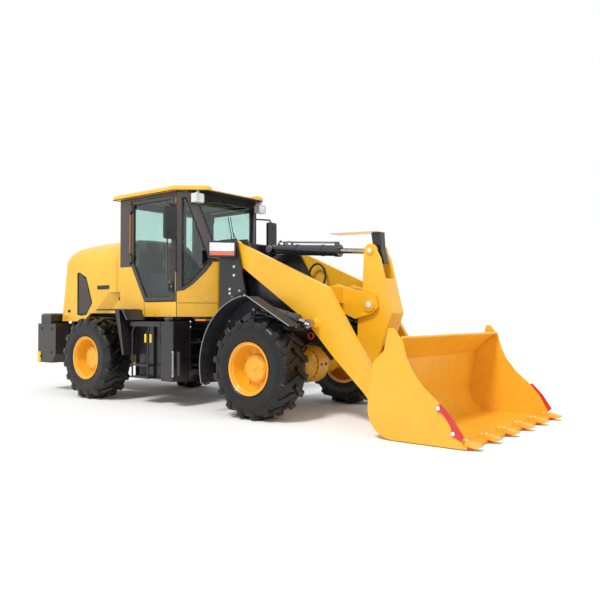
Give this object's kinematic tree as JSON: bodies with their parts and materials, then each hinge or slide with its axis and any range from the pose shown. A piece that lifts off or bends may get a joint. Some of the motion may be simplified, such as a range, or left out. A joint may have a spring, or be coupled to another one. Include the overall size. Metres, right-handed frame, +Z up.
{
  "type": "articulated wheel loader",
  "caption": "Articulated wheel loader with a Z-bar bucket linkage, glazed operator's cab, lift and tilt cylinders, and centre-pivot steering.",
  "frame": {"origin": "on the ground under the middle of the whole machine, bucket teeth to counterweight", "axes": "+X forward to the bucket, +Y to the machine's left, +Z up"},
  "size_m": [7.022, 2.184, 2.69],
  "materials": {
    "yellow_paint": "gloss enamel",
    "bucket_paint": "gloss enamel",
    "black_paint": "satin enamel",
    "grey_paint": "satin enamel",
    "pillar_brown": "satin enamel",
    "red_paint": "gloss enamel",
    "tyre_rubber": "matt",
    "rim_yellow": "gloss enamel",
    "cab_glass": "clear, lightly tinted",
    "lamp_glass": "clear, ribbed",
    "black_plastic": "moulded",
    "seat_cloth": "woven",
    "rod_chrome": "polished",
    "mesh_steel": "perforated sheet",
    "cast_grey": "as cast, painted",
    "pin_steel": "turned"
  },
  "bodies": {
    "rear_body": {"rear_frame": "black_paint", "rear_axle": "yellow_paint", "rear_drive_shaft": "grey_paint", "engine_block": "cast_grey", "counterweight": "cast_grey", "tail_lamps": "black_paint", "hood": "yellow_paint", "hood_grilles": "mesh_steel", "rear_mudguards": "black_paint", "side_tanks": "black_paint", "ladders": "black_paint", "cab_floor": "black_paint", "cab_panels": "yellow_paint", "cab_frame": "pillar_brown", "cab_glass": "cab_glass", "cab_roof": "yellow_paint", "seat_base": "black_plastic", "seat_cushions": "seat_cloth", "cab_consoles": "black_plastic", "steering_wheel": "black_plastic", "mirrors": "black_plastic", "work_lamps": "black_plastic"},
    "front_body": {"front_frame": "black_paint", "front_axle": "yellow_paint", "front_drive_shaft": "grey_paint", "boom_tower": "black_paint", "front_fenders": "black_paint", "headlamps": "black_paint", "headlamp_lenses": "lamp_glass"},
    "boom": {"boom": "yellow_paint"},
    "rocker": {"rocker": "yellow_paint"},
    "bucket_link": {"bucket_link": "yellow_paint"},
    "bucket": {"bucket": "bucket_paint", "bucket_teeth": "bucket_paint", "side_cutters": "red_paint"},
    "tilt_barrel": {"tilt_pin": "pin_steel", "tilt_barrel": "black_paint"},
    "tilt_rod": {"tilt_rod": "rod_chrome", "guard_post": "black_paint", "guard_plate": "yellow_paint"},
    "wheel_front_left": {"tyre_front_left": "tyre_rubber", "rim_front_left": "rim_yellow"},
    "wheel_front_right": {"tyre_front_right": "tyre_rubber", "rim_front_right": "rim_yellow"},
    "wheel_rear_left": {"tyre_rear_left": "tyre_rubber", "rim_rear_left": "rim_yellow"},
    "wheel_rear_right": {"tyre_rear_right": "tyre_rubber", "rim_rear_right": "rim_yellow"},
    "door_left": {"door_left": "pillar_brown", "door_glass_left": "cab_glass"},
    "steer_barrel_left": {"steer_barrel_left": "black_paint"},
    "steer_rod_left": {"steer_rod_left": "rod_chrome"},
    "lift_barrel_left": {"lift_barrel_left": "black_paint"},
    "lift_rod_left": {"lift_rod_left": "rod_chrome"},
    "door_right": {"door_right": "pillar_brown", "door_glass_right": "cab_glass"},
    "steer_barrel_right": {"steer_barrel_right": "black_paint"},
    "steer_rod_right": {"steer_rod_right": "rod_chrome"},
    "lift_barrel_right": {"lift_barrel_right": "black_paint"},
    "lift_rod_right": {"lift_rod_right": "rod_chrome"}
  },
  "joints": [
    {"name": "wheel_front_left", "type": "hinge", "parent": "front_body", "child": "wheel_front_left", "pos_m": [0.969, 0.855, 0.538], "axis": [0, 1, 0], "continuous": true},
    {"name": "wheel_front_right", "type": "hinge", "parent": "front_body", "child": "wheel_front_right", "pos_m": [0.969, -0.855, 0.538], "axis": [0, 1, 0], "continuous": true},
    {"name": "wheel_rear_left", "type": "hinge", "parent": "rear_body", "child": "wheel_rear_left", "pos_m": [-1.957, 0.855, 0.538], "axis": [0, 1, 0], "continuous": true},
    {"name": "wheel_rear_right", "type": "hinge", "parent": "rear_body", "child": "wheel_rear_right", "pos_m": [-1.957, -0.855, 0.538], "axis": [0, 1, 0], "continuous": true},
    {"name": "steering_articulation", "type": "hinge", "parent": "rear_body", "child": "front_body", "pos_m": [-0.494, 0, 0.69], "axis": [0, 0, 1], "range_deg": [-35, 35]},
    {"name": "steer_barrel_left", "type": "hinge", "parent": "rear_body", "child": "steer_barrel_left", "pos_m": [-1.094, 0.42, 0.78], "axis": [0, 0, 1], "range_deg": [-15.22, 15.22]},
    {"name": "steer_rod_left", "type": "slide", "parent": "steer_barrel_left", "child": "steer_rod_left", "axis": [0.9998, -0.0196, 0], "range_m": [-0.251, 0.251]},
    {"name": "steer_barrel_right", "type": "hinge", "parent": "rear_body", "child": "steer_barrel_right", "pos_m": [-1.094, -0.42, 0.78], "axis": [0, 0, 1], "range_deg": [-15.22, 15.22]},
    {"name": "steer_rod_right", "type": "slide", "parent": "steer_barrel_right", "child": "steer_rod_right", "axis": [0.9998, 0.0196, 0], "range_m": [-0.251, 0.251]},
    {"name": "boom_lift", "type": "hinge", "parent": "front_body", "child": "boom", "pos_m": [0.269, 0, 1.84], "axis": [0, -1, 0], "range_deg": [0, 75]},
    {"name": "bucket_tilt", "type": "hinge", "parent": "boom", "child": "bucket", "pos_m": [2.269, 0, 0.26], "axis": [0, 1, 0], "range_deg": [-42, 98]},
    {"name": "rocker_swing", "type": "hinge", "parent": "boom", "child": "rocker", "pos_m": [1.903, 0, 1.208], "axis": [0, -1, 0], "range_deg": [-7.87, 17.03]},
    {"name": "bucket_link_swing", "type": "hinge", "parent": "rocker", "child": "bucket_link", "pos_m": [1.869, 0, 0.43], "axis": [0, -1, 0], "range_deg": [-42.42, 18.75]},
    {"name": "lift_barrel_left", "type": "hinge", "parent": "front_body", "child": "lift_barrel_left", "pos_m": [0.419, 0.665, 1.29], "axis": [0, -1, 0], "range_deg": [-1, 75.62]},
    {"name": "lift_rod_left", "type": "slide", "parent": "lift_barrel_left", "child": "lift_rod_left", "axis": [0.9674, 0, -0.2532], "range_m": [-0.005, 0.7021]},
    {"name": "lift_barrel_right", "type": "hinge", "parent": "front_body", "child": "lift_barrel_right", "pos_m": [0.419, -0.665, 1.29], "axis": [0, -1, 0], "range_deg": [-1, 75.62]},
    {"name": "lift_rod_right", "type": "slide", "parent": "lift_barrel_right", "child": "lift_rod_right", "axis": [0.9674, 0, -0.2532], "range_m": [-0.005, 0.7021]},
    {"name": "tilt_cylinder", "type": "hinge", "parent": "front_body", "child": "tilt_barrel", "pos_m": [0.419, 0, 1.9], "axis": [0, -1, 0], "range_deg": [-1, 83]},
    {"name": "tilt_rod", "type": "slide", "parent": "tilt_barrel", "child": "tilt_rod", "axis": [0.9972, 0, -0.0753], "range_m": [-0.1653, 0.0737]},
    {"name": "door_left", "type": "hinge", "parent": "rear_body", "child": "door_left", "pos_m": [-1.426, 0.736, 1.9], "axis": [0, 0, 1], "range_deg": [0, 85]},
    {"name": "door_right", "type": "hinge", "parent": "rear_body", "child": "door_right", "pos_m": [-1.426, -0.736, 1.9], "axis": [0, 0, -1], "range_deg": [0, 85]}
  ],
  "couplings": [
    {"joint": "steer_barrel_left", "follows": "steering_articulation", "ratio": 0.40616},
    {"joint": "steer_rod_left", "follows": "steering_articulation", "m_per_rad": -0.40276},
    {"joint": "steer_barrel_right", "follows": "steering_articulation", "ratio": 0.40616},
    {"joint": "steer_rod_right", "follows": "steering_articulation", "m_per_rad": 0.40276},
    {"joint": "rocker_swing", "follows": "bucket_tilt", "ratio": 0.1636},
    {"joint": "bucket_link_swing", "follows": "bucket_tilt", "ratio": -0.4227},
    {"joint": "lift_barrel_left", "follows": "boom_lift", "ratio": 0.99489},
    {"joint": "lift_rod_left", "follows": "boom_lift", "m_per_rad": 0.53256},
    {"joint": "lift_barrel_right", "follows": "boom_lift", "ratio": 0.99489},
    {"joint": "lift_rod_right", "follows": "boom_lift", "m_per_rad": 0.53256},
    {"joint": "tilt_cylinder", "follows": "boom_lift", "ratio": 1.0933},
    {"joint": "tilt_rod", "follows": "bucket_tilt", "m_per_rad": -0.09373}
  ]
}
